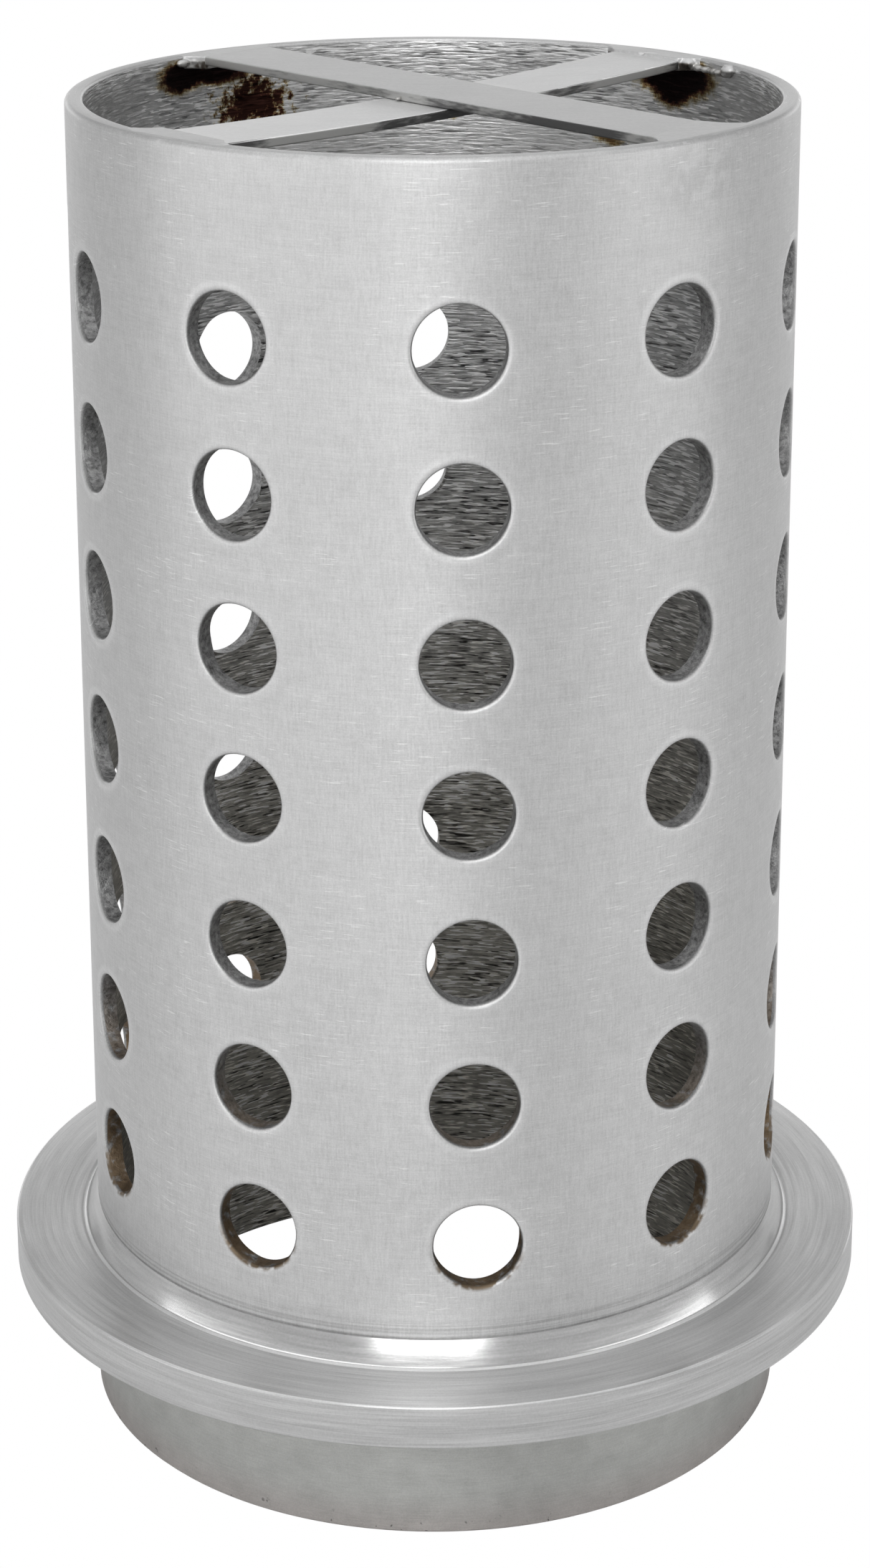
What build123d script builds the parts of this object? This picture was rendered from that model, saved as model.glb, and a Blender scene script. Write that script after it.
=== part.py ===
from build123d import *
import os
from math import atan2, cos, radians, sin, sqrt

os.makedirs("parts", exist_ok=True)

# A perforated casting flask, in millimetres. It stands on its open collar end, +Z up.
# The origin is the centre of the collar's bottom edge, and -Y is the front.

# Barrel: a 4 inch tube. Its collar, below the flange, is a little larger, and the flange sits
# on the collar's bevelled shoulder.
barrel_radius = 101.6 / 2
wall = 2.5
bore_radius = barrel_radius - wall
barrel_height = 194.8
collar_step = 0.6
collar_radius = barrel_radius + collar_step
collar_height = 20.3
shoulder_top = collar_height + collar_step
rim_outer_round = 0.7
rim_inner_round = 0.35
collar_edge_chamfer = 0.4

# Perforations: seven rings of ten, each ring turned a little against the one above it.
hole_radius = 6.1
hole_lip_round = 0.55
ring_count = 7
holes_per_ring = 10
ring_pitch = 21.0
top_ring_height = 170.0
first_hole_azimuth = -90 + 3.85
ring_twist = 0.48

# Flange: a flat ring, 1/4 inch thick, with the collar below it.
flange_radius = 126.2 / 2
flange_thickness = 6.35
flange_edge_chamfer = 0.4
flange_top = collar_height + flange_thickness

# The turned weld at the flange's foot: a steep cone with a fine groove just outside it.
weld_cone_width = 1.9
weld_cone_height = 3.3
groove_depth = 0.3
groove_width = 0.8
weld_cone_bulge = 0.15
weld_foot_radius = barrel_radius + weld_cone_width

# Crossbars: two flat strips inside the rim. The upper one is flush with it, and the lower
# one bows down to pass beneath.
bar_width = 13.0
bar_thickness = 1.3
bar_end_gap = 0.35
bar_edge_round = 0.2
upper_bar_azimuth = 132.7
upper_bar_offset = -3.0
lower_bar_azimuth = 46.8
lower_bar_end_drop = 0.36
lower_bar_bow = 1.0

# Beads at the bar ends. In each corner between a bar's side and the bore a bead has one leg
# along the bar and one along the bore, with a hollow face between them. Legs are given as
# (along the bar, along the bore), first for the corner on the bar's left. The front beads are
# ground flush with the rim.
bead_root = 0.6
bead_hollow = 0.25
rough_bead_drop = 0.25
upper_front_legs = ((1.4, 1.5), (6.1, 3.4))
upper_back_legs = ((1.6, 2.0), (0.8, 0.9))
lower_front_legs = ((2.7, 2.6), (1.6, 2.8))
lower_back_legs = ((1.4, 2.2), (2.6, 9.5))

# The tack where the bars cross, in the corner between the upper bar's side and the lower
# bar's top.
tack_radius = 0.65
tack_along = 3.0
tack_clear = 0.3

# How far a measured radius may be from a face's own.
radius_tolerance = 0.01


def bar_plane(azimuth, offset):
    """The rim's plane, with x along a bar and the origin at the bar's middle."""
    along = Vector(cos(radians(azimuth)), sin(radians(azimuth)), 0)
    across = Vector(-along.Y, along.X, 0)
    return Plane(origin=across * offset + Vector(0, 0, barrel_height), x_dir=along, z_dir=(0, 0, 1))


def half_length(offset):
    """How far a square-cut bar reaches before its corners meet the bore, less the end gap."""
    corner = abs(offset) + bar_width / 2
    return sqrt(bore_radius**2 - corner**2) - bar_end_gap


def hole_planes():
    """One plane per perforation, on the flask's axis and facing out through the wall."""
    planes = []
    for ring in range(ring_count):
        height = top_ring_height - ring * ring_pitch
        for hole in range(holes_per_ring):
            azimuth = radians(first_hole_azimuth + hole * 360 / holes_per_ring + ring * ring_twist)
            outward = (cos(azimuth), sin(azimuth), 0)
            planes.append(Plane(origin=(0, 0, height), x_dir=(0, 0, 1), z_dir=outward))
    return planes


def is_outer_lip(edge):
    """True for the saddle-shaped edge where a perforation meets the barrel's outside."""
    start = edge @ 0
    on_outside = abs(Vector(start.X, start.Y, 0).length - barrel_radius) < radius_tolerance
    return on_outside and edge.geom_type not in (GeomType.CIRCLE, GeomType.LINE)


def finish(piece, label):
    """Name a finished piece and write it out."""
    piece.part.label = label
    export_step(piece.part, f"parts/{label}.step")


# ---------------------------------------------------------------- barrel

with BuildPart() as barrel:
    with BuildSketch(Plane.XZ):
        with BuildLine():
            Polyline(
                (bore_radius, 0),
                (collar_radius, 0),
                (collar_radius, collar_height),
                (barrel_radius, shoulder_top),
                (barrel_radius, barrel_height),
                (bore_radius, barrel_height),
                close=True,
            )
        make_face()
    revolve(axis=Axis.Z)
    ends = barrel.edges().filter_by(GeomType.CIRCLE).group_by(Axis.Z)
    inner_rim, outer_rim = ends[-1].sort_by(SortBy.RADIUS)
    chamfer(ends[0], collar_edge_chamfer)
    fillet(outer_rim, rim_outer_round)
    fillet(inner_rim, rim_inner_round)
    with BuildSketch(*hole_planes()):
        Circle(hole_radius)
    extrude(amount=barrel_radius + wall, mode=Mode.SUBTRACT)
    fillet([edge for edge in barrel.edges() if is_outer_lip(edge)], hole_lip_round)
finish(barrel, "barrel")


# ---------------------------------------------------------------- flange and its weld

with BuildPart() as flange_ring:
    with BuildSketch(Plane.XZ):
        with BuildLine():
            Polyline(
                (barrel_radius, shoulder_top),
                (collar_radius, collar_height),
                (flange_radius - flange_edge_chamfer, collar_height),
                (flange_radius, collar_height + flange_edge_chamfer),
                (flange_radius, flange_top - flange_edge_chamfer),
                (flange_radius - flange_edge_chamfer, flange_top),
                (weld_foot_radius + groove_width, flange_top),
                (weld_foot_radius + groove_width / 2, flange_top - groove_depth),
                (weld_foot_radius, flange_top),
                (barrel_radius, flange_top),
                close=True,
            )
        make_face()
    revolve(axis=Axis.Z)
finish(flange_ring, "flange_ring")

with BuildPart() as flange_weld:
    with BuildSketch(Plane.XZ):
        with BuildLine():
            foot = (weld_foot_radius, flange_top)
            top = (barrel_radius, flange_top + weld_cone_height)
            Polyline(top, (barrel_radius, flange_top), foot)
            SagittaArc(foot, top, -weld_cone_bulge)
        make_face()
    revolve(axis=Axis.Z)
finish(flange_weld, "flange_weld")


# ---------------------------------------------------------------- crossbars

upper_plane = bar_plane(upper_bar_azimuth, upper_bar_offset)
upper_half = half_length(upper_bar_offset)
lower_plane = bar_plane(lower_bar_azimuth, 0)
lower_half = half_length(0)

with BuildPart() as upper_crossbar:
    with BuildSketch(upper_plane):
        Rectangle(2 * upper_half, bar_width)
    extrude(amount=-bar_thickness)
    long_edges = [edge for edge in upper_crossbar.edges() if edge.length > upper_half]
    fillet(long_edges, bar_edge_round)
finish(upper_crossbar, "upper_crossbar")

lower_side_plane = Plane(origin=lower_plane.origin, x_dir=lower_plane.x_dir, z_dir=-lower_plane.y_dir)
with BuildPart() as lower_crossbar:
    with BuildSketch(lower_side_plane):
        with BuildLine():
            near_end = (-lower_half, -lower_bar_end_drop)
            far_end = (lower_half, -lower_bar_end_drop)
            near_root = (-lower_half, -lower_bar_end_drop - bar_thickness)
            far_root = (lower_half, -lower_bar_end_drop - bar_thickness)
            SagittaArc(near_end, far_end, -lower_bar_bow)
            Line(far_end, far_root)
            SagittaArc(near_root, far_root, -lower_bar_bow)
            Line(near_root, near_end)
        make_face()
    extrude(amount=bar_width / 2, both=True)
    long_edges = [edge for edge in lower_crossbar.edges() if edge.length > lower_half]
    fillet(long_edges, bar_edge_round)
finish(lower_crossbar, "lower_crossbar")


# ---------------------------------------------------------------- beads at the bar ends

def bead_corner(offset, end, side, bar_leg, bore_leg):
    """The outline of a bead's corner: two legs, and an arc that draws in between them."""
    corner = Vector(end * half_length(offset), side * bar_width / 2)
    on_bar = corner - Vector(end * bar_leg, 0)
    bore_angle = atan2(corner.Y + offset, corner.X) + side * end * bore_leg / bore_radius
    on_bore = Vector(cos(bore_angle), sin(bore_angle)) * (bore_radius + wall / 2) - Vector(0, offset)
    middle = (on_bar + on_bore) / 2
    Polyline(on_bore, corner + Vector(end * wall, 0), on_bar)
    ThreePointArc(on_bar, middle + (corner - middle) * bead_hollow, on_bore)


def bar_end_bead(label, bar, plane, offset, end, legs, drop):
    """A bead that fills the gap past one bar end and turns both of its corners."""
    with BuildPart() as bead:
        with BuildSketch(plane.offset(-drop)):
            with Locations((end * (half_length(offset) + wall / 2), 0)):
                Rectangle(wall, bar_width)
            for side, (bar_leg, bore_leg) in zip((1, -1), legs):
                with BuildLine():
                    bead_corner(offset, end, side, bar_leg, bore_leg)
                make_face()
            with Locations((0, -offset)):
                Circle(bore_radius, mode=Mode.INTERSECT)
        extrude(amount=-(bar_thickness + bead_root))
        add(bar.part, mode=Mode.SUBTRACT)
    finish(bead, label)


upper_bar = (upper_crossbar, upper_plane, upper_bar_offset)
lower_bar = (lower_crossbar, lower_plane, 0)
bar_end_bead("upper_bar_front_weld", *upper_bar, -1, upper_front_legs, 0)
bar_end_bead("upper_bar_back_weld", *upper_bar, 1, upper_back_legs, rough_bead_drop)
bar_end_bead("lower_bar_front_weld", *lower_bar, -1, lower_front_legs, 0)
bar_end_bead("lower_bar_back_weld", *lower_bar, 1, lower_back_legs, rough_bead_drop)


# ---------------------------------------------------------------- tack at the crossing

tack_place = (tack_along, bar_width / 2 + tack_clear, -bar_thickness)
with BuildPart() as crossing_tack:
    with Locations(upper_plane.from_local_coords(tack_place)):
        Sphere(tack_radius)
    add(upper_crossbar.part, mode=Mode.SUBTRACT)
    add(lower_crossbar.part, mode=Mode.SUBTRACT)
finish(crossing_tack, "crossing_tack")
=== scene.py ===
import math

import bmesh
import bpy
import numpy as np
from mathutils import Matrix, Vector


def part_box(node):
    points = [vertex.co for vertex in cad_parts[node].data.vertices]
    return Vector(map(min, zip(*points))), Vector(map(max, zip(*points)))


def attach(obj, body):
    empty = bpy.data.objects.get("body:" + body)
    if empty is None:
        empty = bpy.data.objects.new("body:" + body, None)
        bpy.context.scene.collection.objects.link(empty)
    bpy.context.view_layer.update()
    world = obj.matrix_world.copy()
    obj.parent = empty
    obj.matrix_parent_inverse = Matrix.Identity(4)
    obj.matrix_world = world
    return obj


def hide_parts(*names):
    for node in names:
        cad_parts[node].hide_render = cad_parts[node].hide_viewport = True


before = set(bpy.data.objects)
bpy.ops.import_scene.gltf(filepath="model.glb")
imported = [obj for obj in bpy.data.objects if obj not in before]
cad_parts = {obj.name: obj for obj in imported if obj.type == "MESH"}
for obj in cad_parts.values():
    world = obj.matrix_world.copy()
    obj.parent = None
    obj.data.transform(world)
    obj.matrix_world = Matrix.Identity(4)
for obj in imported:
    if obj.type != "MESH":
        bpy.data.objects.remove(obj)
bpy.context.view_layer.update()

# A perforated casting flask in brushed steel, standing on its collar. Sizes below are in
# millimetres, and MM turns them into Blender's metres.
MM = 0.001


# ---------------------------------------------------------------- camera

CAMERA_PLACE = Vector((0, -0.485714, 0.275454))
CAMERA_PITCH = math.radians(-16.5631)
CAMERA_YAW = math.radians(0.0247)
CAMERA_ROLL = math.radians(-0.10365)
CAMERA_LENS = 81.05
CAMERA_SHIFT = -0.1601


def make_camera():
    data = bpy.data.cameras.new("camera")
    data.sensor_width = 36
    data.lens = CAMERA_LENS
    data.shift_y = CAMERA_SHIFT
    data.clip_start = 0.01
    data.clip_end = 20
    camera = bpy.data.objects.new("camera", data)
    bpy.context.scene.collection.objects.link(camera)
    looking_along_y = Matrix.Rotation(math.pi / 2 + CAMERA_PITCH, 4, "X")
    turned = Matrix.Rotation(-CAMERA_YAW, 4, "Z") @ looking_along_y
    camera.matrix_world = Matrix.Translation(CAMERA_PLACE) @ turned @ Matrix.Rotation(CAMERA_ROLL, 4, "Z")
    bpy.context.scene.camera = camera


make_camera()
bpy.context.scene.view_settings.view_transform = "Standard"


# ---------------------------------------------------------------- sizes, in millimetres

def node_box(node):
    low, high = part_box(node)
    return low / MM, high / MM


def distance_from_axis(node):
    return [math.hypot(v.co.x, v.co.y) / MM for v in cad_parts[node].data.vertices]


COLLAR_STEP = 0.6
COLLAR_RADIUS = node_box("barrel")[1].x
BARREL_RADIUS = COLLAR_RADIUS - COLLAR_STEP
BARREL_HEIGHT = node_box("barrel")[1].z
BORE_RADIUS = min(distance_from_axis("barrel"))
WALL = BARREL_RADIUS - BORE_RADIUS
FLANGE_RADIUS = node_box("flange_ring")[1].x
FLANGE_BOTTOM = node_box("flange_ring")[0].z
FLANGE_TOP = node_box("flange_ring")[1].z
WELD_FOOT_RADIUS = node_box("flange_weld")[1].x
WELD_TOP = node_box("flange_weld")[1].z
EDGE_CHAMFER = 0.4
WORN_CHAMFER = 0.22
RIM_OUTER_ROUND = 0.7
RIM_INNER_ROUND = 0.35
GROOVE_DEPTH = 0.3
GROOVE_WIDTH = 0.8

HOLE_RADIUS = 6.1
HOLE_LIP_ROUND = 0.55
RING_COUNT = 7
HOLES_PER_RING = 10
RING_PITCH = 21.0
TOP_RING_HEIGHT = 170.0
BOTTOM_RING_HEIGHT = TOP_RING_HEIGHT - (RING_COUNT - 1) * RING_PITCH
CELL_ANGLE = 2 * math.pi / HOLES_PER_RING
FIRST_HOLE_AZIMUTH = math.radians(-90 + 3.85)
RING_TWIST = math.radians(0.48)

BAR_WIDTH = 13.0
BAR_THICKNESS = 1.3
BAR_END_GAP = 0.35
UPPER_BAR = (math.radians(132.7), -3.0)
LOWER_BAR = (math.radians(46.8), 0.0)
BEAD_ROOT = 0.6


# ---------------------------------------------------------------- shader nodes

class Shader:
    """One material. Every position and noise scale in it is in millimetres."""

    def __init__(self, name):
        self.material = bpy.data.materials.new(name)
        self.material.use_nodes = True
        self.tree = self.material.node_tree
        self.surface = self.tree.nodes["Principled BSDF"]
        place = self.node("ShaderNodeTexCoord").outputs["Object"]
        self.place = self.vector("SCALE", place, scale=1 / MM)
        split = self.node("ShaderNodeSeparateXYZ")
        self.put(split.inputs[0], self.place)
        self.x, self.y, self.z = split.outputs
        flat = self.vector("MULTIPLY", self.place, (1, 1, 0))
        self.radius = self.vector("LENGTH", flat)

    def node(self, kind, **settings):
        made = self.tree.nodes.new(kind)
        for name, value in settings.items():
            setattr(made, name, value)
        return made

    def put(self, socket, value):
        """Link an output to a socket, or set the socket to a plain value."""
        if isinstance(value, bpy.types.NodeSocket):
            self.tree.links.new(value, socket)
        else:
            socket.default_value = value

    def vector(self, operation, a, b=None, scale=None):
        made = self.node("ShaderNodeVectorMath", operation=operation)
        self.put(made.inputs[0], a)
        if b is not None:
            self.put(made.inputs[1], b)
        if scale is not None:
            self.put(made.inputs["Scale"], scale)
        return made.outputs["Value" if operation in ("LENGTH", "DISTANCE") else "Vector"]

    def math(self, operation, a, b=0.0):
        made = self.node("ShaderNodeMath", operation=operation)
        self.put(made.inputs[0], a)
        self.put(made.inputs[1], b)
        return made.outputs[0]

    def combine(self, x, y, z):
        made = self.node("ShaderNodeCombineXYZ")
        for socket, value in zip(made.inputs, (x, y, z)):
            self.put(socket, value)
        return made.outputs[0]

    def turned(self, along, across):
        """Noise space for marks round the axis: features per mm along and across the marks."""
        height = self.math("MULTIPLY", self.math("ADD", self.z, self.radius), across)
        x = self.math("MULTIPLY", self.x, along)
        y = self.math("MULTIPLY", self.y, along)
        return self.combine(x, y, height)

    def noise(self, space, scale=1.0, detail=2.0, roughness=0.5):
        made = self.node("ShaderNodeTexNoise")
        self.put(made.inputs["Vector"], space)
        self.put(made.inputs["Scale"], scale)
        self.put(made.inputs["Detail"], detail)
        self.put(made.inputs["Roughness"], roughness)
        return made.outputs["Fac"]

    def ramp(self, value, low, high, to_low=0.0, to_high=1.0):
        """Value from low to high mapped smoothly onto to_low and to_high."""
        made = self.node("ShaderNodeMapRange", interpolation_type="SMOOTHSTEP")
        for name, given in (("Value", value), ("From Min", low), ("From Max", high),
                            ("To Min", to_low), ("To Max", to_high)):
            self.put(made.inputs[name], given)
        return made.outputs[0]

    def band(self, value, centre, half_width):
        """1 at centre, falling to 0 half_width away."""
        return self.ramp(self.math("ABSOLUTE", self.math("SUBTRACT", value, centre)), 0, half_width, 1, 0)

    def colours(self, value, *stops):
        """A colour ramp from (position, (r, g, b)) stops."""
        made = self.node("ShaderNodeValToRGB")
        elements = made.color_ramp.elements
        while len(elements) < len(stops):
            elements.new(0.5)
        for element, (position, colour) in zip(elements, stops):
            element.position = position
            element.color = (*colour, 1)
        self.put(made.inputs[0], value)
        return made.outputs[0]

    def mix(self, factor, a, b, blend="MIX"):
        made = self.node("ShaderNodeMix", data_type="RGBA", blend_type=blend)
        self.put(made.inputs["Factor"], factor)
        for name, value in (("A", a), ("B", b)):
            socket = next(s for s in made.inputs if s.name == name and s.type == "RGBA")
            self.put(socket, value if isinstance(value, bpy.types.NodeSocket) else (*value, 1))
        return next(s for s in made.outputs if s.type == "RGBA")

    def grey(self, value):
        return self.combine(value, value, value)

    def attribute(self, name):
        return self.node("ShaderNodeAttribute", attribute_name=name).outputs["Fac"]

    def bump(self, height, depth, below=None):
        """Bump of the given depth in mm, over an earlier bump if one is given."""
        made = self.node("ShaderNodeBump")
        self.put(made.inputs["Distance"], depth * MM)
        self.put(made.inputs["Height"], height)
        if below is not None:
            self.put(made.inputs["Normal"], below)
        return made.outputs[0]

    def sum(self, *weighted):
        """Sum of (socket, weight) pairs, each socket first centred on zero by half."""
        total = 0.0
        for socket, weight in weighted:
            part = self.math("MULTIPLY", self.math("SUBTRACT", socket, 0.5), weight)
            total = self.math("ADD", part, total)
        return total

    def metal(self, colour, roughness, normal, anisotropy=0.0):
        """Finish the material as bare metal, its highlights drawn out across turned marks."""
        self.surface.inputs["Metallic"].default_value = 1.0
        self.put(self.surface.inputs["Base Color"], colour)
        self.put(self.surface.inputs["Roughness"], roughness)
        self.put(self.surface.inputs["Normal"], normal)
        if anisotropy:
            self.surface.inputs["Anisotropic"].default_value = anisotropy
            self.surface.inputs["Anisotropic Rotation"].default_value = 0.25
            tangent = self.node("ShaderNodeTangent", direction_type="RADIAL", axis="Z")
            self.put(self.surface.inputs["Tangent"], tangent.outputs[0])
        return self.material


# ---------------------------------------------------------------- materials

def turned_steel(name, value, roughness, anisotropy, line_depth, line_colour, face=0.0):
    """Steel turned on a lathe: fine lines round the axis, and level faces lightened by face, a painted
    highlight.
    """
    s = Shader(name)
    fine = s.noise(s.turned(0.12, 6.0), detail=3)
    broad = s.noise(s.turned(0.04, 1.3), detail=2)
    patches = s.noise(s.place, 0.06, detail=3)
    grain = s.noise(s.place, 3.5, detail=2)
    shade = s.sum((fine, line_colour), (broad, line_colour), (patches, 0.08), (grain, 0.14))
    # Painted highlight: faces that look up are lightened by face.
    shade = s.math("ADD", shade, s.math("MULTIPLY", facing_up(s), face))
    shade = s.math("ADD", shade, value)
    rough = s.math("ADD", s.sum((fine, 0.12), (patches, 0.08)), roughness)
    normal = s.bump(broad, line_depth * 2, s.bump(fine, line_depth))
    return s.metal(s.grey(shade), rough, normal, anisotropy)


def facing_up(s):
    """1 on level faces, 0 on upright ones."""
    geometry = s.node("ShaderNodeNewGeometry")
    upward = s.node("ShaderNodeSeparateXYZ")
    s.put(upward.inputs[0], geometry.outputs["True Normal"])
    return s.ramp(upward.outputs[2], 0.45, 0.85)


# Where the barrel was ground below the upper bar's front weld.
GRINDING_SMUDGE = (34.5, -37.3, 190.0)


def outside_steel():
    """The barrel's brushed outside, its rim and its duller collar, whose darker grey is partly painted
    shade under the flange.
    """
    s = Shader("barrel_outside")
    lines = s.noise(s.turned(0.30, 6.5), detail=3, roughness=0.65)
    long_lines = s.noise(s.turned(0.035, 1.8), detail=2)
    upright = s.noise(s.vector("MULTIPLY", s.place, (4.2, 4.2, 0.45)), detail=2)
    grain = s.noise(s.place, 4.6, detail=2)
    clouds = s.noise(s.place, 0.35, detail=3)
    patches = s.noise(s.place, 0.045, detail=3)
    scratches = s.ramp(s.noise(s.turned(0.34, 4.6), detail=1), 0.64, 0.74)
    scratches = s.math("MULTIPLY", scratches, s.ramp(s.noise(s.place, 0.07, detail=2), 0.44, 0.60))
    gap = s.attribute("hole_gap")
    polished = s.band(gap, 0.9, 0.9)
    halo_here = s.ramp(s.noise(s.place, 0.03, detail=1), 0.40, 0.60, 0.4, 1.0)
    halo = s.math("MULTIPLY", polished, halo_here)
    # Painted shade: the inner half of each hole's rounded lip, where it turns into the hole, is darkened.
    painted_lip_shade = s.ramp(gap, 0.30, 0.03)
    tool_lines = s.ramp(s.noise(s.turned(0.02, 2.4), detail=1), 0.42, 0.58)
    tool_marks = s.math("MULTIPLY", s.ramp(s.z, WELD_TOP + 3.4, WELD_TOP + 1.6), tool_lines)
    neck = s.band(s.z, WELD_TOP + 0.15, 0.35)
    from_weld = s.vector("SUBTRACT", s.place, GRINDING_SMUDGE)
    smudge = s.ramp(s.vector("LENGTH", s.vector("MULTIPLY", from_weld, (1, 1, 1.3))), 11.0, 3.0)
    smudge = s.math("MULTIPLY", smudge, s.ramp(clouds, 0.40, 0.60))
    shade = s.sum(
        (lines, 0.22), (long_lines, 0.05), (upright, 0.18), (grain, 0.18), (clouds, 0.08), (patches, 0.08),
    )
    # Painted shade: facing_up darkens the level faces, such as the rim top, by 0.03.
    marks = ((scratches, 0.16), (halo, 0.05), (painted_lip_shade, -0.34), (tool_marks, -0.12), (neck, -0.22),
             (smudge, -0.09), (facing_up(s), -0.03))
    for mask, weight in marks:
        shade = s.math("ADD", shade, s.math("MULTIPLY", mask, weight))
    shade = s.math("ADD", shade, 0.645)
    blotches = s.noise(s.place, 0.22, detail=4, roughness=0.6)
    specks = s.math("MULTIPLY", s.ramp(s.noise(s.place, 0.9, detail=2), 0.66, 0.72), s.ramp(s.z, 3.4, 0.6))
    # The collar's grey, 0.52 against the barrel's 0.645, is partly painted shade under the flange's
    # overhang; its blotches, specks and pink foot are its own colour.
    collar_grey_and_painted_shade = s.sum((lines, 0.20), (grain, 0.16), (blotches, 0.20))
    collar_grey_and_painted_shade = s.math("ADD", s.math("ADD", collar_grey_and_painted_shade, s.math("MULTIPLY", specks, -0.35)), 0.52)
    foot = s.ramp(s.z, 7.0, 0.0)
    collar_tint = s.mix(foot, (0.99, 1.0, 0.97), (1.0, 0.95, 0.92))
    collar = s.ramp(s.z, FLANGE_BOTTOM + 0.2, FLANGE_BOTTOM - 0.2)
    low_half = s.ramp(s.z, BOTTOM_RING_HEIGHT, BOTTOM_RING_HEIGHT - 4.5)
    stain = s.math("MULTIPLY", s.ramp(gap, 0.8, 0.2), low_half)
    stain = s.math("MULTIPLY", stain, s.ramp(s.noise(s.place, 0.6, detail=2), 0.38, 0.56))
    steel = s.mix(stain, s.grey(shade), (0.17, 0.13, 0.09))
    colour = s.mix(collar, steel, s.mix(1.0, s.grey(collar_grey_and_painted_shade), collar_tint, "MULTIPLY"))
    rough = s.sum((lines, 0.22), (upright, 0.10), (patches, 0.10))
    rough = s.math("ADD", rough, s.math("MULTIPLY", halo, -0.07))
    rough = s.math("ADD", rough, 0.46)
    relief = s.sum((lines, 1.0), (long_lines, 0.8), (upright, 0.5), (grain, 0.35))
    groove = s.math("MULTIPLY", neck, -1.0)
    normal = s.bump(groove, 0.05, s.bump(relief, 0.006, s.bump(halo, 0.03)))
    return s.metal(colour, rough, normal, 0.65)


def hole_wall_steel():
    """Walls of the perforations, with brown staining on the lower ones."""
    s = Shader("hole_wall")
    marks = s.noise(s.place, 1.3, detail=4, roughness=0.65)
    fine = s.noise(s.place, 5.0, detail=2)
    shade = s.math("ADD", s.sum((marks, 0.95), (fine, 0.25)), 0.33)
    stain = s.math(
        "MULTIPLY",
        s.ramp(s.z, TOP_RING_HEIGHT - 4.6 * RING_PITCH, TOP_RING_HEIGHT - 5.7 * RING_PITCH),
        s.ramp(s.noise(s.place, 0.7, detail=3), 0.28, 0.48),
    )
    rust = s.mix(marks, (0.050, 0.034, 0.022), (0.36, 0.27, 0.18))
    colour = s.mix(stain, s.grey(s.math("MAXIMUM", shade, 0.08)), rust)
    rough = s.math("ADD", s.sum((marks, 0.3)), 0.50)
    normal = s.bump(s.sum((marks, 1.0), (fine, 0.4)), 0.10)
    return s.metal(colour, rough, normal)


# Heat marks in the bore: place (azimuth in degrees, depth below the rim), reach along and
# down the wall, strength and how ragged the edge is.
HEAT_MARKS = (
    ((139.5, 3.0), (5.6, 2.6), 1.0, 0.9),
    ((131.0, 3.0), (6.4, 2.2), 0.85, 1.0),
    ((124.0, 8.4), (6.4, 4.2), 0.72, 3.0),
    ((42.0, 3.2), (8.6, 3.6), 1.0, 0.7),
    ((42.5, 5.0), (4.6, 3.0), 0.90, 1.0),
    ((-42.0, 3.6), (7.0, 2.6), 0.85, 1.0),
    ((-60.0, 5.5), (6.0, 2.0), 0.45, 1.6),
    ((87.0, 11.0), (1.8, 1.3), 0.55, 1.4),
    ((56.5, 13.5), (3.0, 1.6), 0.50, 1.4),
)


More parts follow.
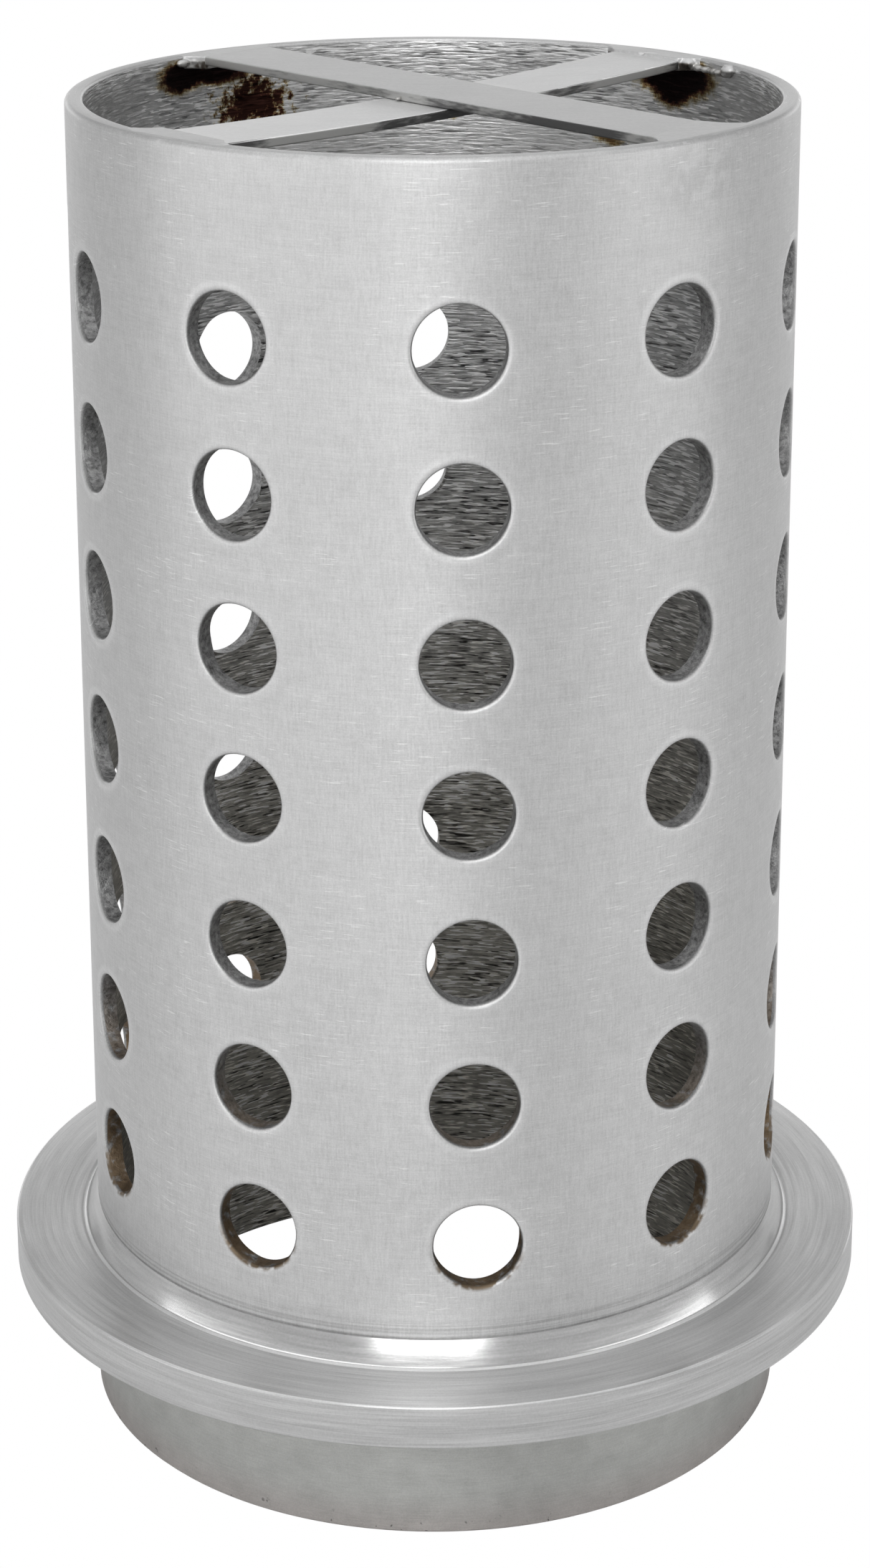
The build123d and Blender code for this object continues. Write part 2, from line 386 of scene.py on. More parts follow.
def bore_steel():
    """The rough bore, streaked round the axis and burnt where the bars are welded."""
    s = Shader("barrel_bore")
    streaks = s.noise(s.turned(0.36, 2.8), detail=4, roughness=0.62)
    flecks = s.noise(s.turned(0.36, 3.2), detail=1)
    cuts = s.noise(s.vector("ADD", s.turned(0.26, 2.8), (37, 11, 5)), detail=1)
    pits = s.noise(s.place, 1.6, detail=3)
    patches = s.noise(s.place, 0.05, detail=2)
    smear = s.noise(s.place, 0.14, detail=3)
    # Painted light: back lightens the far wall of the bore just below the rim.
    back = s.math("MULTIPLY", s.ramp(s.y, 28.0, 44.0), s.ramp(s.z, 140.0, 175.0))
    back = s.math("MULTIPLY", back, s.ramp(s.z, 182.0, 191.0, 1.0, 0.55))
    # Painted light and shade: the bore's colour is dimmed towards the front wall and lifted towards the
    # back.
    painted_light_by_side = s.ramp(s.y, 16.0, 44.0, 0.35, 1.30)
    # Painted glints: bright flecks lighten the bore's colour where the smear noise is high; their relief
    # further down is real bump.
    bright = s.math("MULTIPLY", s.ramp(flecks, 0.55, 0.62), s.ramp(smear, 0.36, 0.58, 0.45, 1.0))
    dark = s.ramp(cuts, 0.57, 0.64)
    shade = s.sum((streaks, 0.95), (pits, 0.12), (patches, 0.18), (smear, 0.36))
    for mask, weight in ((bright, 0.90), (dark, -0.30)):
        shade = s.math("ADD", shade, s.math("MULTIPLY", mask, weight))
    shade = s.math("ADD", s.math("MULTIPLY", shade, painted_light_by_side), s.math("MULTIPLY", back, 0.42))
    shade = s.math("MAXIMUM", s.math("ADD", shade, 0.50), 0.05)
    # Painted shade: the bore darkens towards the bottom.
    shade = s.math("MULTIPLY", shade, s.ramp(s.z, 40.0, 150.0, 0.90, 1.0))
    heat = 0.0
    ragged = s.sum((s.noise(s.place, 0.8, detail=4, roughness=0.7), 1.0))
    for (azimuth, depth), (reach_along, reach_down), strength, rag in HEAT_MARKS:
        x, y = BORE_RADIUS * math.cos(math.radians(azimuth)), BORE_RADIUS * math.sin(math.radians(azimuth))
        centre = Vector((x, y, BARREL_HEIGHT - depth))
        away = s.vector("SUBTRACT", s.place, centre)
        away = s.vector("DIVIDE", away, (reach_along, reach_along, reach_down))
        reach = s.math("ADD", s.vector("LENGTH", away), s.math("MULTIPLY", ragged, rag))
        glow = s.ramp(reach, 1.25, 0.45, 0.0, strength)
        heat = s.math("MAXIMUM", glow, heat)
    tint = s.colours(
        heat,
        (0.0, (1.0, 1.0, 1.0)),
        (0.22, (0.66, 0.60, 0.46)),
        (0.42, (0.34, 0.24, 0.11)),
        (0.60, (0.11, 0.042, 0.030)),
        (0.80, (0.018, 0.010, 0.010)),
    )
    # A warmer tint towards the bottom of the bore.
    warm_tint_lower_down = s.mix(s.ramp(s.z, 150.0, 60.0), (1.0, 1.0, 1.0), (1.0, 0.97, 0.90))
    colour = s.mix(1.0, s.mix(1.0, s.grey(shade), warm_tint_lower_down, "MULTIPLY"), tint, "MULTIPLY")
    rough = s.math("ADD", s.sum((streaks, 0.30), (pits, 0.15)), 0.40)
    rough = s.math("ADD", rough, s.math("MULTIPLY", heat, 0.25))
    relief = s.sum((streaks, 1.0), (flecks, 1.2), (cuts, -0.8), (pits, 0.5))
    normal = s.bump(relief, 0.09)
    return s.metal(colour, rough, normal, 0.35)


def ground_top(s, value):
    """Colour, roughness and relief shared by everything ground flush with the rim."""
    sanding = s.noise(s.vector("MULTIPLY", s.place, (0.25, 2.8, 2.0)), detail=3)
    grain = s.noise(s.place, 2.2, detail=2)
    patches = s.noise(s.place, 0.09, detail=3)
    shade = s.math("ADD", s.sum((sanding, 0.14), (grain, 0.12), (patches, 0.10)), value)
    rough = s.math("ADD", s.sum((sanding, 0.1), (patches, 0.1)), 0.50)
    return s.grey(shade), rough, s.sum((sanding, 1.0), (grain, 0.5))


def bar_steel(name, value):
    """The bars: sanded tops, and sheared sides under a dull skin."""
    s = Shader(name)
    top, rough, relief = ground_top(s, value)
    shear = s.noise(s.vector("MULTIPLY", s.place, (0.5, 0.5, 3.0)), detail=3)
    skin = s.math("ADD", s.sum((shear, 0.3)), s.noise(s.place, 0.07, detail=1))
    side = s.mix(s.ramp(skin, 0.38, 0.58), (0.15, 0.15, 0.15), (0.58, 0.58, 0.57))
    level = facing_up(s)
    colour = s.mix(level, side, top)
    return s.metal(colour, rough, s.bump(relief, 0.004))


def bead_steel(name, ground):
    """Weld metal: bright ripples with patches of dark scale, and ground tops where asked."""
    s = Shader(name)
    top, _, relief = ground_top(s, 0.68)
    ripple = s.noise(s.place, 1.2, detail=2)
    scale_coat = s.ramp(s.noise(s.place, 0.5, detail=3), 0.46, 0.60)
    colour = s.mix(scale_coat, (0.55, 0.545, 0.53), (0.12, 0.105, 0.09))
    rough = s.math("ADD", s.sum((ripple, 0.2)), 0.38)
    height = s.math("MULTIPLY", ripple, 16.0)
    if ground:
        level = s.ramp(s.z, BARREL_HEIGHT - 0.85, BARREL_HEIGHT - 0.45)
        colour = s.mix(level, colour, top)
        rough = s.math("ADD", rough, s.math("MULTIPLY", level, 0.12))
        height = s.math("ADD", relief, s.math("MULTIPLY", height, s.math("SUBTRACT", 1.0, level)))
    return s.metal(colour, rough, s.bump(height, 0.004))


OUTSIDE = outside_steel()
HOLE_WALL = hole_wall_steel()
BORE = bore_steel()
# The flange's last figure, 0.11, is a painted highlight on its upward faces.
FLANGE = turned_steel("flange_steel", 0.60, 0.34, 0.6, 0.006, 0.30, 0.11)
CONE = turned_steel("cone_steel", 0.60, 0.20, 0.4, 0.006, 0.26)
UPPER_STEEL = bar_steel("upper_bar_steel", 0.66)
LOWER_STEEL = bar_steel("lower_bar_steel", 0.82)
BEAD = bead_steel("bead_steel", False)
BAR_END = bead_steel("bar_end_steel", True)


# ---------------------------------------------------------------- meshes

SHARP_ANGLE = math.radians(35)
MERGE_DISTANCE = 2e-6


def as_piece(name, node, mesh, materials):
    """Put a finished mesh in the scene as the piece that stands for a CAD node."""
    piece = bpy.data.objects.new(name, mesh)
    bpy.context.scene.collection.objects.link(piece)
    for material in materials:
        mesh.materials.append(material)
    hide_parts(node)
    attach(piece, "root")


class Quads:
    """Quads gathered from grids of points, in millimetres, whose shared edges then merge."""

    def __init__(self):
        self.points = []
        self.faces = []
        self.materials = []
        self.count = 0

    def grid(self, rows, material=0):
        """Add a grid of points with shape (rows, columns, 3)."""
        rows = np.asarray(rows)
        height, width, _ = rows.shape
        index = self.count + np.arange(height * width).reshape(height, width)
        quads = np.stack([index[:-1, :-1], index[:-1, 1:], index[1:, 1:], index[1:, :-1]], axis=-1)
        self.points.append(rows.reshape(-1, 3))
        self.faces.append(quads.reshape(-1, 4))
        self.materials += [material] * ((height - 1) * (width - 1))
        self.count += height * width

    def mesh(self, name):
        made = bpy.data.meshes.new(name)
        points = np.concatenate(self.points) * MM
        made.from_pydata(points.tolist(), [], np.concatenate(self.faces).tolist())
        made.polygons.foreach_set("material_index", self.materials)
        work = bmesh.new()
        work.from_mesh(made)
        bmesh.ops.remove_doubles(work, verts=work.verts, dist=MERGE_DISTANCE)
        bmesh.ops.recalc_face_normals(work, faces=work.faces)
        work.to_mesh(made)
        work.free()
        made.shade_smooth()
        made.set_sharp_from_angle(angle=SHARP_ANGLE)
        return made


CORNER_STEPS = 4


def rounded(profile, radius):
    """A closed profile of (radius, height) points with each corner turned by a small arc."""
    points = [Vector(p) for p in profile]
    made = []
    for before, corner, after in zip(points[-1:] + points[:-1], points, points[1:] + points[:1]):
        to_before, to_after = (before - corner).normalized(), (after - corner).normalized()
        start, end = corner + to_before * radius, corner + to_after * radius
        for step in range(CORNER_STEPS + 1):
            t = step / CORNER_STEPS
            made.append(start.lerp(corner, t).lerp(corner.lerp(end, t), t))
    return made


def lathe(quads, profile, azimuths, material=0, close=False):
    """Turn a profile of (radius, height) points through a row of azimuths."""
    path = list(profile) + ([profile[0]] if close else [])
    rows = [[(r * math.cos(a), r * math.sin(a), z) for a in azimuths] for r, z in path]
    quads.grid(rows, material)


FULL_TURN = np.linspace(0, 2 * math.pi, 289)


# ---------------------------------------------------------------- barrel

# Points along a cell's upright and level sides, and how far along the way from a hole to its
# cell's edge each row of points is. A burr rim is the strip of bore that a burr stands on.
SIDE_STEPS = 12
TOP_STEPS = 20
OUTSIDE_LAYERS = (0, 0.04, 0.10, 0.20, 0.36, 0.62, 1.0)
BORE_LAYERS = (0, 0.06, 0.18, 0.4, 0.68, 1.0)
LIP_STEPS = 4
WALL_STEPS = 2
BURR_RIM = 0.45


def cell_outline():
    """Directions round a hole, with where each meets the edge of the hole's own cell: azimuth
    from the hole and height above it. A cell is the wall's share round one perforation."""
    half_width = BARREL_RADIUS * math.sin(CELL_ANGLE / 2)
    half_height = RING_PITCH / 2
    corner = math.atan2(half_height, half_width)
    sides = (
        np.linspace(-corner, corner, SIDE_STEPS + 1)[:-1],
        np.linspace(corner, math.pi - corner, TOP_STEPS + 1)[:-1],
        np.linspace(math.pi - corner, math.pi + corner, SIDE_STEPS + 1)[:-1],
        np.linspace(math.pi + corner, 2 * math.pi - corner, TOP_STEPS + 1),
    )
    turn = np.concatenate(sides)
    to_side = half_width / np.abs(np.cos(turn))
    to_end = half_height / np.maximum(np.abs(np.sin(turn)), 1e-9)
    reach = np.minimum(to_side, to_end)
    azimuth = np.arcsin(np.clip(reach * np.cos(turn) / BARREL_RADIUS, -1, 1))
    return turn, azimuth, reach * np.sin(turn)


def wavy(turn, seed, waves=4):
    """A smooth closed wave from -1 to 1 round a hole, different for each seed."""
    draw = np.random.default_rng(seed)
    total = np.zeros_like(turn)
    for k in range(1, waves + 1):
        total += draw.normal() * np.cos(k * turn + draw.uniform(0, 2 * math.pi)) / k
    return np.clip(total / 2, -1, 1)


def barrel_cell(quads, azimuth, height, seed):
    """One perforation with the outside, lip, wall, burr and bore around it."""
    turn, cell_azimuth, cell_height = cell_outline()
    outward = np.array((math.cos(azimuth), math.sin(azimuth), 0))
    sideways = np.array((-math.sin(azimuth), math.cos(azimuth), 0))

    def place(across, up, out):
        return (np.multiply.outer(out, outward) + np.multiply.outer(across, sideways)
                + np.multiply.outer(height + up, (0, 0, 1)))

    def on_cylinder(radius, start, layers):
        rows = []
        for layer in layers:
            edge_across = radius * np.sin(cell_azimuth)
            across = start * np.cos(turn) * (1 - layer) + edge_across * layer
            up = start * np.sin(turn) * (1 - layer) + cell_height * layer
            angle = azimuth + np.arcsin(across / radius) - layer * up / RING_PITCH * RING_TWIST
            rows.append(np.stack([radius * np.cos(angle), radius * np.sin(angle), height + up], axis=-1))
        return rows

    lip = HOLE_LIP_ROUND * (1 + 0.16 * wavy(turn, seed))
    quads.grid(on_cylinder(BARREL_RADIUS, HOLE_RADIUS + lip, OUTSIDE_LAYERS), 0)

    rows = []
    for step in range(LIP_STEPS + 1):
        bend = math.pi / 2 * step / LIP_STEPS
        reach = HOLE_RADIUS + lip * (1 - math.sin(bend))
        across, up = reach * np.cos(turn), reach * np.sin(turn)
        rows.append(place(across, up, np.sqrt(BARREL_RADIUS**2 - across**2) - lip * (1 - math.cos(bend))))
    quads.grid(rows, 0)

    across, up = HOLE_RADIUS * np.cos(turn), HOLE_RADIUS * np.sin(turn)
    outer = np.sqrt(BARREL_RADIUS**2 - across**2) - lip
    inner = np.sqrt(BORE_RADIUS**2 - across**2)
    burr = np.clip(wavy(turn, seed + 500, 9), 0, 1) ** 2 * 0.5 + 0.02
    rows = [place(across, up, outer + (inner - outer) * step / WALL_STEPS)
            for step in range(WALL_STEPS + 1)]
    rows.append(place(across, up, inner - burr))
    quads.grid(rows, 1)

    reach = HOLE_RADIUS + BURR_RIM * 0.3
    across, up = reach * np.cos(turn), reach * np.sin(turn)
    tip = place(across, up, np.sqrt(BORE_RADIUS**2 - across**2) - burr * 0.9)
    bore = on_cylinder(BORE_RADIUS, HOLE_RADIUS + BURR_RIM, BORE_LAYERS)
    quads.grid([rows[-1], tip, bore[0]], 2)
    quads.grid(bore, 2)


def barrel_ends(quads):
    """The plain wall above the top ring and below the bottom ring, with both ends of the barrel."""
    turn, cell_azimuth, _ = cell_outline()
    columns = cell_azimuth[SIDE_STEPS:SIDE_STEPS + TOP_STEPS + 1]
    cells_top = TOP_RING_HEIGHT + RING_PITCH / 2
    cells_bottom = cells_top - RING_COUNT * RING_PITCH
    rim = BARREL_HEIGHT
    flat_inner, flat_outer = BORE_RADIUS + RIM_INNER_ROUND, BARREL_RADIUS - RIM_OUTER_ROUND
    bends = np.linspace(0, math.pi / 2, 6)
    outer_top = [(BARREL_RADIUS, z) for z in np.linspace(cells_top, rim - RIM_OUTER_ROUND, 5)[:-1]]
    outer_top += [(flat_outer + RIM_OUTER_ROUND * math.cos(b), rim - RIM_OUTER_ROUND * (1 - math.sin(b)))
                  for b in bends]
    inner_top = [(flat_inner - RIM_INNER_ROUND * math.sin(b), rim - RIM_INNER_ROUND * (1 - math.cos(b)))
                 for b in bends]
    bore_top = [(BORE_RADIUS, z) for z in np.linspace(rim - RIM_INNER_ROUND, cells_top, 5)]
    outer_bottom = [(BARREL_RADIUS, z) for z in np.linspace(cells_bottom, FLANGE_BOTTOM + COLLAR_STEP, 6)]
    outer_bottom += [(COLLAR_RADIUS, z) for z in np.linspace(FLANGE_BOTTOM, EDGE_CHAMFER, 6)]
    outer_bottom += [(COLLAR_RADIUS - EDGE_CHAMFER, 0), (BORE_RADIUS + EDGE_CHAMFER, 0)]
    bore_bottom = [(BORE_RADIUS, z) for z in np.linspace(EDGE_CHAMFER, cells_bottom, 8)]
    for hole in range(HOLES_PER_RING):
        top_azimuth = FIRST_HOLE_AZIMUTH + hole * CELL_ANGLE - RING_TWIST / 2
        bottom_azimuth = top_azimuth + RING_COUNT * RING_TWIST
        lathe(quads, outer_top + inner_top, top_azimuth + columns, 0)
        lathe(quads, bore_top, top_azimuth + columns, 2)
        lathe(quads, outer_bottom, bottom_azimuth + columns, 0)
        lathe(quads, [outer_bottom[-1]] + bore_bottom, bottom_azimuth + columns, 2)


def hole_gaps(points):
    """How far each point of the wall is from the edge of its nearest perforation, in mm."""
    ring = np.clip(np.round((TOP_RING_HEIGHT - points[:, 2]) / RING_PITCH), 0, RING_COUNT - 1)
    up = points[:, 2] - (TOP_RING_HEIGHT - ring * RING_PITCH)
    turned = np.arctan2(points[:, 1], points[:, 0]) - FIRST_HOLE_AZIMUTH - ring * RING_TWIST
    turned -= np.round(turned / CELL_ANGLE) * CELL_ANGLE
    across = np.hypot(points[:, 0], points[:, 1]) * np.sin(turned)
    return np.hypot(across, up) - HOLE_RADIUS


def make_barrel():
    quads = Quads()
    for ring in range(RING_COUNT):
        for hole in range(HOLES_PER_RING):
            azimuth = FIRST_HOLE_AZIMUTH + hole * CELL_ANGLE + ring * RING_TWIST
            barrel_cell(quads, azimuth, TOP_RING_HEIGHT - ring * RING_PITCH, ring * HOLES_PER_RING + hole)
    barrel_ends(quads)
    mesh = quads.mesh("barrel_shell")
    points = np.array([v.co for v in mesh.vertices]) / MM
    gap = mesh.attributes.new("hole_gap", "FLOAT", "POINT")
    gap.data.foreach_set("value", hole_gaps(points).astype(np.float32))
    as_piece("barrel_shell", "barrel", mesh, (OUTSIDE, HOLE_WALL, BORE))


make_barrel()


# ---------------------------------------------------------------- flange and its weld

def make_flange():
    groove_outer = WELD_FOOT_RADIUS + GROOVE_WIDTH
    profile = (
        (BARREL_RADIUS, FLANGE_BOTTOM + COLLAR_STEP),
        (COLLAR_RADIUS, FLANGE_BOTTOM),
        (FLANGE_RADIUS - WORN_CHAMFER, FLANGE_BOTTOM),
        (FLANGE_RADIUS, FLANGE_BOTTOM + WORN_CHAMFER),
        (FLANGE_RADIUS, FLANGE_TOP - WORN_CHAMFER),
        (FLANGE_RADIUS - WORN_CHAMFER, FLANGE_TOP),
        (groove_outer, FLANGE_TOP),
        ((WELD_FOOT_RADIUS + groove_outer) / 2, FLANGE_TOP - GROOVE_DEPTH),
        (WELD_FOOT_RADIUS, FLANGE_TOP),
        (BARREL_RADIUS, FLANGE_TOP),
    )
    quads = Quads()
    lathe(quads, rounded(profile, 0.1), FULL_TURN, close=True)
    as_piece("flange_disc", "flange_ring", quads.mesh("flange_disc"), (FLANGE,))


# How far the cone's face bulges, and how far its hidden sides reach into the steel.
CONE_BULGE = 0.05
CONE_ROOT = 0.1


def make_cone():
    foot, top = Vector((WELD_FOOT_RADIUS, FLANGE_TOP)), Vector((BARREL_RADIUS + 0.02, WELD_TOP))
    outward = Vector((top.y - foot.y, foot.x - top.x)).normalized()
    face = [foot.lerp(top, t) + outward * CONE_BULGE * math.sin(math.pi * t) for t in np.linspace(0, 1, 13)]
    inside, below = BARREL_RADIUS - CONE_ROOT, FLANGE_TOP - CONE_ROOT
    inner = [Vector((inside, WELD_TOP)), Vector((inside, below)), Vector((WELD_FOOT_RADIUS, below))]
    quads = Quads()
    lathe(quads, face + inner, FULL_TURN, close=True)
    as_piece("turned_cone", "flange_weld", quads.mesh("turned_cone"), (CONE,))


make_flange()
make_cone()


# ---------------------------------------------------------------- bars and beads

# Beads: the remesh's voxel, how far a ground top stands over the bar, how much of a bead's top
# is ground level, and how far a bead reaches out over the rim.
BEAD_VOXEL = 0.14
GROUND_SKIN = 0.015
GROUND_DEPTH = 0.2
RIM_COVER = 1.3
LUMP_SIZE = 1.3
SMOOTHING = 7


def half_length(offset):
    """How far a bar's square end is from the middle of the bar."""
    return math.sqrt(BORE_RADIUS**2 - (abs(offset) + BAR_WIDTH / 2) ** 2) - BAR_END_GAP


def bar_matrix(bar):
    """From a bar's own frame, x along it and z up from the rim, to the flask's, in millimetres."""
    azimuth, offset = bar
    across = Vector((-math.sin(azimuth), math.cos(azimuth), 0))
    origin = across * offset + Vector((0, 0, BARREL_HEIGHT))
    return Matrix.Translation(origin) @ Matrix.Rotation(azimuth, 4, "Z")


def bead_outline(bar, end, legs):
    """The outline of a bead in its bar's frame: along the bar's end, into each corner with a
    hollow face between two legs, and out over the rim."""
    offset = bar[1]
    made = []
    for side, (bar_leg, bore_leg) in zip((1, -1), legs):
        corner = Vector((end * half_length(offset), side * BAR_WIDTH / 2))
        on_bar = corner - Vector((end * bar_leg, 0))
        start = math.atan2(corner.y + offset, corner.x)
        swing = side * end * bore_leg / BORE_RADIUS
        on_bore = Vector((math.cos(start + swing), math.sin(start + swing))) * BORE_RADIUS
        on_bore -= Vector((0, offset))
        hollow = on_bar.lerp(on_bore, 0.5).lerp(corner, 0.5)
        half = [on_bar.lerp(hollow, t).lerp(hollow.lerp(on_bore, t), t) for t in np.linspace(0, 1, 9)]
        for t in np.linspace(1, 0, 7):
            angle = start + swing * t
            rim = Vector((math.cos(angle), math.sin(angle))) * (BORE_RADIUS + RIM_COVER)
            half.append(rim - Vector((0, offset)))
        made += half if side == 1 else half[::-1]
    return made


def prism(work, outline, top, bottom):
    upper = [work.verts.new((p.x, p.y, top)) for p in outline]
    lower = [work.verts.new((p.x, p.y, bottom)) for p in outline]
    work.faces.new(upper)
    work.faces.new(lower[::-1])
    for k in range(len(outline)):
        work.faces.new((upper[k], lower[k], lower[k - 1], upper[k - 1]))


def blob(work, place, size):
    stretch = Matrix.Diagonal((*size, 1))
    bmesh.ops.create_icosphere(work, subdivisions=3, radius=1, matrix=Matrix.Translation(place) @ stretch)


def near_segment(points, start, end):
    """Distance in plan of each point from a segment."""
    start, end = np.array(start), np.array(end)
    run = end - start
    t = np.clip((points[:, :2] - start) @ run / (run @ run), 0, 1)
    return np.hypot(*(points[:, :2] - start - t[:, None] * run).T)


def sculpted(name, matrix, work, top, lumps, pits=()):
    """Melt overlapping shapes into one skin, roughen it, flatten its top and press pits in.
    A pit is (start, end, half width, depth)."""
    bmesh.ops.recalc_face_normals(work, faces=work.faces)
    rough = bpy.data.meshes.new(name + "_rough")
    work.to_mesh(rough)
    work.free()
    piece = bpy.data.objects.new(name + "_rough", rough)
    bpy.context.scene.collection.objects.link(piece)
    melt = piece.modifiers.new("melt", "REMESH")
    melt.mode, melt.voxel_size = "VOXEL", BEAD_VOXEL
    soften = piece.modifiers.new("soften", "SMOOTH")
    soften.factor, soften.iterations = 0.5, SMOOTHING
    cloud = bpy.data.textures.new(name + "_lumps", "CLOUDS")
    cloud.noise_scale = LUMP_SIZE
    displace = piece.modifiers.new("lumps", "DISPLACE")
    displace.texture, displace.strength, displace.mid_level = cloud, lumps, 0.5
    depsgraph = bpy.context.evaluated_depsgraph_get()
    mesh = bpy.data.meshes.new_from_object(piece.evaluated_get(depsgraph))
    bpy.data.objects.remove(piece)
    mesh.name = name
    points = np.array([v.co for v in mesh.vertices])
    points[:, 2] = np.where(points[:, 2] > top - GROUND_DEPTH, top, points[:, 2])
    for start, end, half_width, depth in pits:
        reach = np.clip(1 - near_segment(points, start, end) / half_width, 0, 1)
        points[:, 2] -= np.where(points[:, 2] > top - 2 * depth, depth * np.sqrt(reach), 0)
    mesh.vertices.foreach_set("co", points.ravel())
    mesh.transform(Matrix.Scale(MM, 4) @ matrix)
    mesh.shade_smooth()
    return mesh


def make_bead(node, bar, end, legs, lumps=0.05, blobs=(), pits=()):
    """One bar end's bead. Blobs are ((along, across, depth), (sizes)) in the bar's frame."""
    work = bmesh.new()
    prism(work, bead_outline(bar, end, legs), GROUND_SKIN, -(BAR_THICKNESS + BEAD_ROOT))
    for place, size in blobs:
        blob(work, (place[0], place[1], -place[2]), size)
    mesh = sculpted(node + "_bead", bar_matrix(bar), work, GROUND_SKIN, lumps, pits)
    as_piece(node + "_bead", node, mesh, (BAR_END,))


def bore_point(bar, degrees, inset, depth):
    """A point inside the bore in a bar's frame, by its angle from the bar's own direction."""
    angle, reach = math.radians(degrees), BORE_RADIUS - inset
    return (reach * math.cos(angle), reach * math.sin(angle) - bar[1], depth)


def make_beads():
    make_bead("upper_bar_front_weld", UPPER_BAR, -1, ((1.4, 1.5), (6.1, 3.4)))
    make_bead(
        "lower_bar_front_weld", LOWER_BAR, -1, ((2.7, 2.6), (1.6, 2.8)),
        pits=(((-48.5, -4.3), (-48.8, -6.0), 0.3, 0.22), ((-48.8, -6.0), (-47.3, -9.5), 0.3, 0.22)),
    )
    make_bead(
        "upper_bar_back_weld", UPPER_BAR, 1, ((1.6, 2.0), (0.8, 0.9)), 0.06,
        blobs=(
            ((47.6, 6.9, 0.8), (1.0, 0.9, 0.8)),
            (bore_point(UPPER_BAR, 7.2, 0.3, 1.0), (0.7, 1.2, 0.6)),
        ),
    )
    wall_bead = [(bore_point(LOWER_BAR, -angle, 0.25, 1.4), (0.7, 1.2, 0.5)) for angle in range(9, 20, 2)]
    make_bead(
        "lower_bar_back_weld", LOWER_BAR, 1, ((1.4, 2.2), (2.0, 2.6)), 0.07,
        blobs=(
            *wall_bead,
            (bore_point(LOWER_BAR, -8.6, 0.8, 0.8), (1.15, 1.3, 0.8)),
            (bore_point(LOWER_BAR, -19.6, 0.3, 0.75), (0.95, 1.2, 0.75)),
            (bore_point(LOWER_BAR, 7.4, 0.9, 0.35), (0.4, 0.35, 0.3)),
            (bore_point(LOWER_BAR, 8.3, 0.5, 0.5), (0.35, 0.45, 0.3)),
        ),
        pits=(((45.6, 1.2), (47.2, -1.1), 0.32, 0.4),),
    )


def make_tack():
    low, high = node_box("crossing_tack")
    middle = (low + high) / 2
    work = bmesh.new()
    blob(work, (0, 0, 0), (high - low) * 0.36)
    blob(work, (0.22, 0.1, 0.2), (high - low) * 0.2)
    mesh = sculpted("crossing_tack_bead", Matrix.Translation(middle), work, 1.0, 0.1)
    as_piece("crossing_tack_bead", "crossing_tack", mesh, (BEAD,))


make_beads()
make_tack()
for bar_node, steel in (("upper_crossbar", UPPER_STEEL), ("lower_crossbar", LOWER_STEEL)):
    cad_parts[bar_node].data.materials.clear()
    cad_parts[bar_node].data.materials.append(steel)


# ---------------------------------------------------------------- floor and light

def show_white(tree, shader, output):
    """Show pure white to the camera, and the real shader to every other ray."""
    nodes, links = tree.nodes, tree.links
    white = nodes.new("ShaderNodeEmission" if output.type == "OUTPUT_MATERIAL" else "ShaderNodeBackground")
    rays = nodes.new("ShaderNodeLightPath")
    choice = nodes.new("ShaderNodeMixShader")
    links.new(rays.outputs["Is Camera Ray"], choice.inputs[0])
    links.new(shader, choice.inputs[1])
    links.new(white.outputs[0], choice.inputs[2])
    links.new(choice.outputs[0], output.inputs["Surface"])
    white.inputs["Color"].default_value = (1, 1, 1, 1)


FLOOR_REACH = 4.0
FLOOR_GREY = 0.80


def make_floor():
    mesh = bpy.data.meshes.new("floor")
    corners = [(x * FLOOR_REACH, y * FLOOR_REACH, 0) for x, y in ((-1, -1), (1, -1), (1, 1), (-1, 1))]
    mesh.from_pydata(corners, [], [(0, 1, 2, 3)])
    floor = bpy.data.objects.new("floor", mesh)
    bpy.context.scene.collection.objects.link(floor)
    material = bpy.data.materials.new("floor_white")
    material.use_nodes = True
    nodes = material.node_tree.nodes
    surface = nodes["Principled BSDF"]
    surface.inputs["Base Color"].default_value = (FLOOR_GREY, FLOOR_GREY, FLOOR_GREY, 1)
    surface.inputs["Roughness"].default_value = 0.9
    show_white(material.node_tree, surface.outputs[0], nodes["Material Output"])
    mesh.materials.append(material)


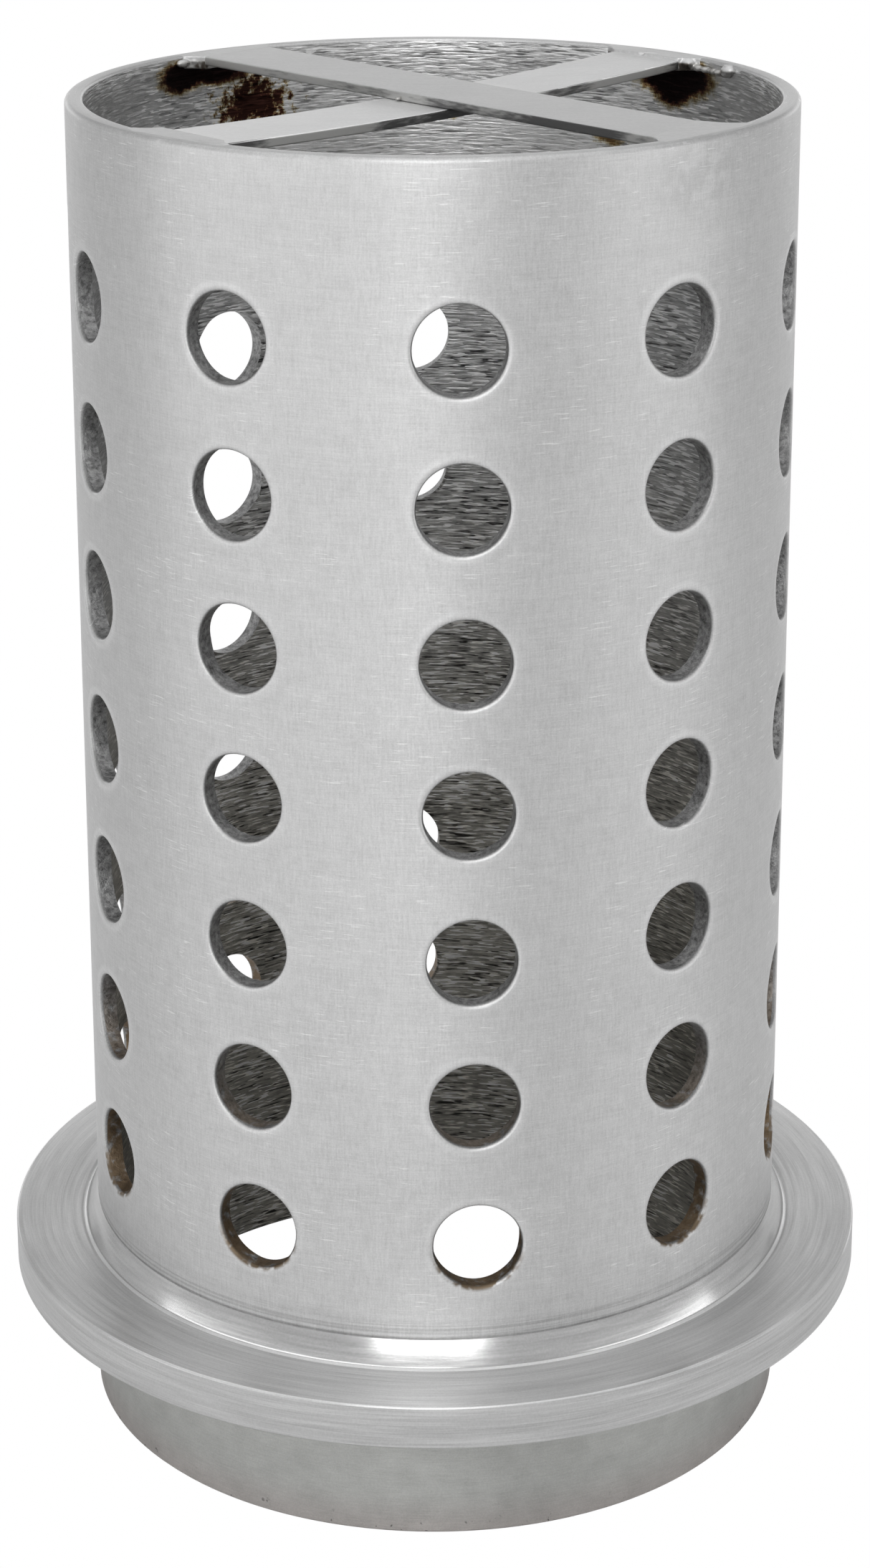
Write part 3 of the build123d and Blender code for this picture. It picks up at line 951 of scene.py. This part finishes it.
# The room's brightness towards the camera's side and behind the flask.
WORLD_FRONT = 0.60
WORLD_BACK = 0.40


def make_world():
    world = bpy.data.worlds.new("studio")
    world.use_nodes = True
    bpy.context.scene.world = world
    nodes, links = world.node_tree.nodes, world.node_tree.links
    background = nodes["Background"]
    background.inputs["Color"].default_value = (1, 1, 1, 1)
    split = nodes.new("ShaderNodeSeparateXYZ")
    links.new(nodes.new("ShaderNodeTexCoord").outputs["Generated"], split.inputs[0])
    fall = nodes.new("ShaderNodeMapRange")
    links.new(split.outputs[1], fall.inputs["Value"])
    for name, value in (("From Min", 0.2), ("From Max", 0.8),
                        ("To Min", WORLD_FRONT), ("To Max", WORLD_BACK)):
        fall.inputs[name].default_value = value
    links.new(fall.outputs[0], background.inputs["Strength"])
    show_white(world.node_tree, background.outputs[0], nodes["World Output"])


LIGHT_DISTANCE = 1.6


def softbox(name, azimuth, elevation, width, height, level):
    """A flat rectangular light. Azimuth is from the front, growing to the right, and width and
    height are the angles that it fills as the flask sees it, all in degrees."""
    data = bpy.data.lights.new(name, "AREA")
    data.shape = "RECTANGLE"
    data.size = 2 * LIGHT_DISTANCE * math.tan(math.radians(width / 2))
    data.size_y = 2 * LIGHT_DISTANCE * math.tan(math.radians(height / 2))
    data.energy = level * math.pi * data.size * data.size_y
    light = bpy.data.objects.new(name, data)
    bpy.context.scene.collection.objects.link(light)
    turn, rise = math.radians(azimuth), math.radians(elevation)
    away = Vector((math.sin(turn) * math.cos(rise), -math.cos(turn) * math.cos(rise), math.sin(rise)))
    centre = Vector((0, 0, BARREL_HEIGHT * MM / 2))
    light.location = centre + away * LIGHT_DISTANCE
    light.rotation_mode = "QUATERNION"
    light.rotation_quaternion = away.to_track_quat("Z", "Y")
    light.visible_camera = False


make_floor()
make_world()
softbox("left", -51, 5, 78, 12, 1.65)
softbox("front", -2, 5, 17, 12, 1.85)
softbox("right", 70, 5, 46, 12, 1.4)
softbox("back", 178, 9, 90, 16, 1.0)
softbox("top_front", -2, 36, 30, 16, 3.4)
softbox("overhead", 0, 90, 80, 80, 0.40)
